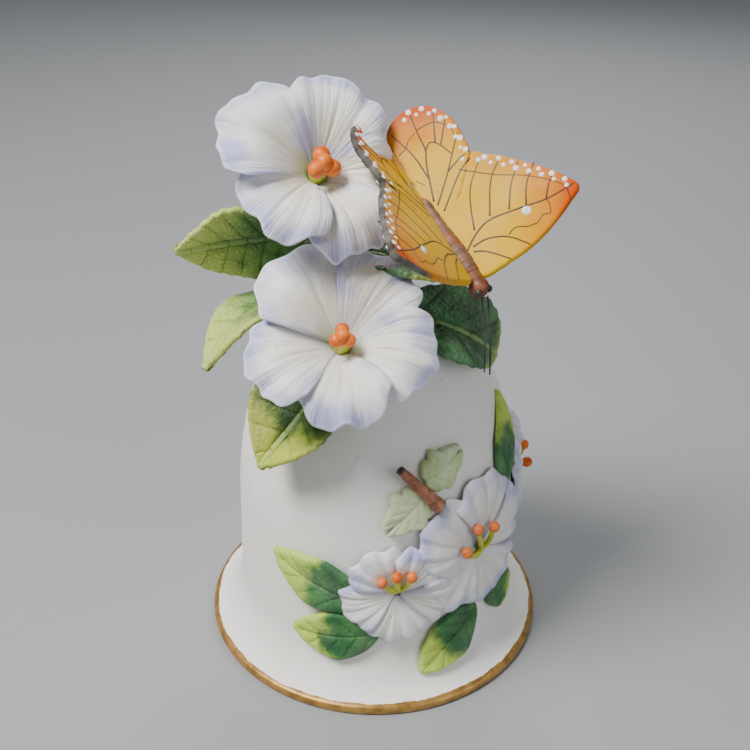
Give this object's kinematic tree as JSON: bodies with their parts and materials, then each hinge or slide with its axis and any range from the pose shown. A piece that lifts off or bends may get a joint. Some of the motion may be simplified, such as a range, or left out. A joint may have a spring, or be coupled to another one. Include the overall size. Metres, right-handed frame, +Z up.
{
  "type": "porcelain bell",
  "caption": "Flared bisque porcelain hand bell with modelled flowers, leaves and a butterfly on the crown, relief flowers on the wall and a porcelain clapper on a wire.",
  "frame": {"origin": "centre of the foot rim's circle, on the surface the bell stands on", "axes": "+Z up along the bell's axis, front with the flowers toward -Y, butterfly toward +X"},
  "size_m": [0.0767, 0.0785, 0.1245],
  "materials": {
    "bisque_shell": "unglazed white bisque porcelain, satin, with a painted matt gold band round the foot",
    "bisque_plain": "unglazed white bisque, unpainted inside",
    "clapper_bisque": "smooth white bisque ball",
    "brass_wire": "drawn brass wire, slightly tarnished",
    "petal_bisque": "bisque petals, cream white with lavender-blue edges",
    "stem_green": "bisque painted matt green",
    "pistil_paint": "bisque painted chartreuse",
    "anther_paint": "bisque painted bright orange, slightly glossy",
    "leaf_paint": "bisque painted dark green to yellow-green, netted veins",
    "wing_paint": "bisque painted yellow to orange with dark veins and white edge dots",
    "insect_brown": "bisque painted reddish brown",
    "antenna_wire": "fine black wire",
    "relief_petal_bisque": "bisque relief, tinted pale lavender",
    "stamen_paint": "bisque painted chartreuse with orange tips",
    "relief_leaf_paint": "bisque painted dark green with yellow-green tips",
    "pale_green_paint": "bisque painted pale green"
  },
  "bodies": {
    "bell": {"bell_shell": "bisque_shell", "crown_lug": "bisque_plain", "hanger_ring": "brass_wire", "main_stem": "stem_green", "butterfly_stem": "stem_green", "upper_calyx": "stem_green", "upper_petal_1": "petal_bisque", "upper_petal_2": "petal_bisque", "upper_petal_3": "petal_bisque", "upper_petal_4": "petal_bisque", "upper_petal_5": "petal_bisque", "upper_pistil": "pistil_paint", "upper_anthers": "anther_paint", "lower_calyx": "stem_green", "lower_petal_1": "petal_bisque", "lower_petal_2": "petal_bisque", "lower_petal_3": "petal_bisque", "lower_petal_4": "petal_bisque", "lower_petal_5": "petal_bisque", "lower_pistil": "pistil_paint", "lower_anthers": "anther_paint", "leaf_upper_left": "leaf_paint", "leaf_middle_left": "leaf_paint", "leaf_lower_left": "leaf_paint", "leaf_right": "leaf_paint", "leaf_centre": "leaf_paint", "leaf_back_left": "leaf_paint", "leaf_back_right": "leaf_paint", "butterfly_body": "insect_brown", "butterfly_head": "insect_brown", "butterfly_forewing_left": "wing_paint", "butterfly_hindwing_left": "wing_paint", "butterfly_forewing_right": "wing_paint", "butterfly_hindwing_right": "wing_paint", "butterfly_antennae": "antenna_wire", "relief_flower_left": "relief_petal_bisque", "relief_flower_right": "relief_petal_bisque", "relief_flower_side": "relief_petal_bisque", "relief_stamens_left": "stamen_paint", "relief_stamens_right": "stamen_paint", "relief_stamens_side": "stamen_paint", "relief_leaf_upper_left": "relief_leaf_paint", "relief_leaf_lower_left": "relief_leaf_paint", "relief_leaf_front": "relief_leaf_paint", "relief_leaf_low_right": "relief_leaf_paint", "relief_leaf_high_right": "relief_leaf_paint", "relief_butterfly_wings": "pale_green_paint", "relief_butterfly_body": "insect_brown"},
    "clapper_swivel": {"swivel_bead": "brass_wire"},
    "clapper": {"clapper_wire": "brass_wire", "clapper_ball": "clapper_bisque", "wire_end": "brass_wire"}
  },
  "joints": [
    {"name": "clapper_turn", "type": "hinge", "parent": "bell", "child": "clapper_swivel", "pos_m": [0, 0, 0.065], "axis": [0, 0, 1], "continuous": true},
    {"name": "clapper_swing", "type": "hinge", "parent": "clapper_swivel", "child": "clapper", "pos_m": [0, 0, 0.065], "axis": [1, 0, 0], "range_deg": [-24, 24]}
  ]
}
